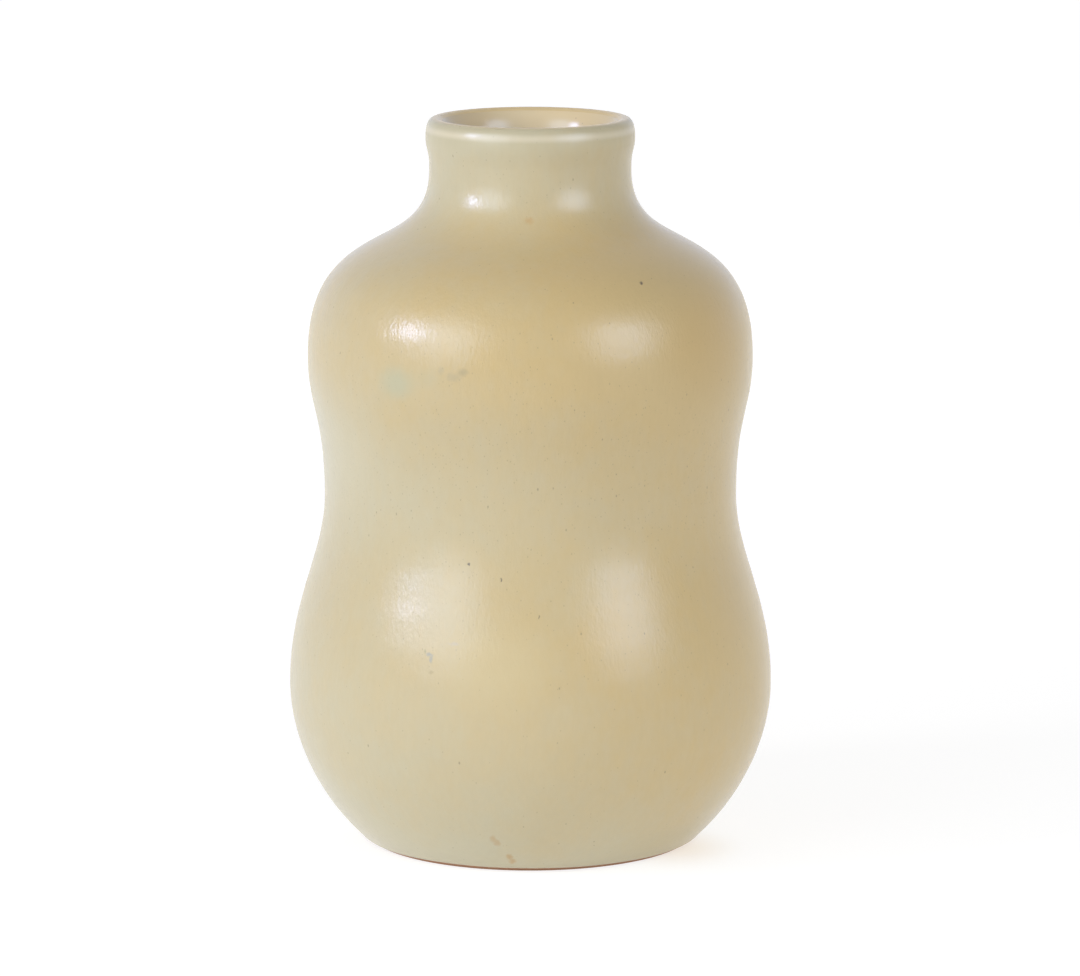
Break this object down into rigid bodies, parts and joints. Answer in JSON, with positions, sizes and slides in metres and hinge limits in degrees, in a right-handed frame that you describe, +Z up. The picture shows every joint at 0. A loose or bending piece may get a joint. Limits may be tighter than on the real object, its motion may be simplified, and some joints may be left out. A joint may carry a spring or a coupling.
{
  "type": "gourd vase",
  "caption": "Thrown stoneware vase in a soft gourd shape: full belly, gentle waist, round shoulder, short flared neck with a rolled lip and a turned foot ring, glazed inside and out.",
  "frame": {"origin": "centre of the flat foot ring, on the surface that the vase stands on", "axes": "+Z up along the vase's axis of rotation; X and Y are level, and the side at -Y is the one that the picture shows"},
  "size_m": [0.1332, 0.1332, 0.2],
  "materials": {
    "stoneware_clay": "matt",
    "outer_glaze": "satin",
    "inner_glaze": "satin"
  },
  "bodies": {
    "root": {"clay_body": "stoneware_clay", "outer_glaze": "outer_glaze", "inner_glaze": "inner_glaze"}
  },
  "joints": []
}
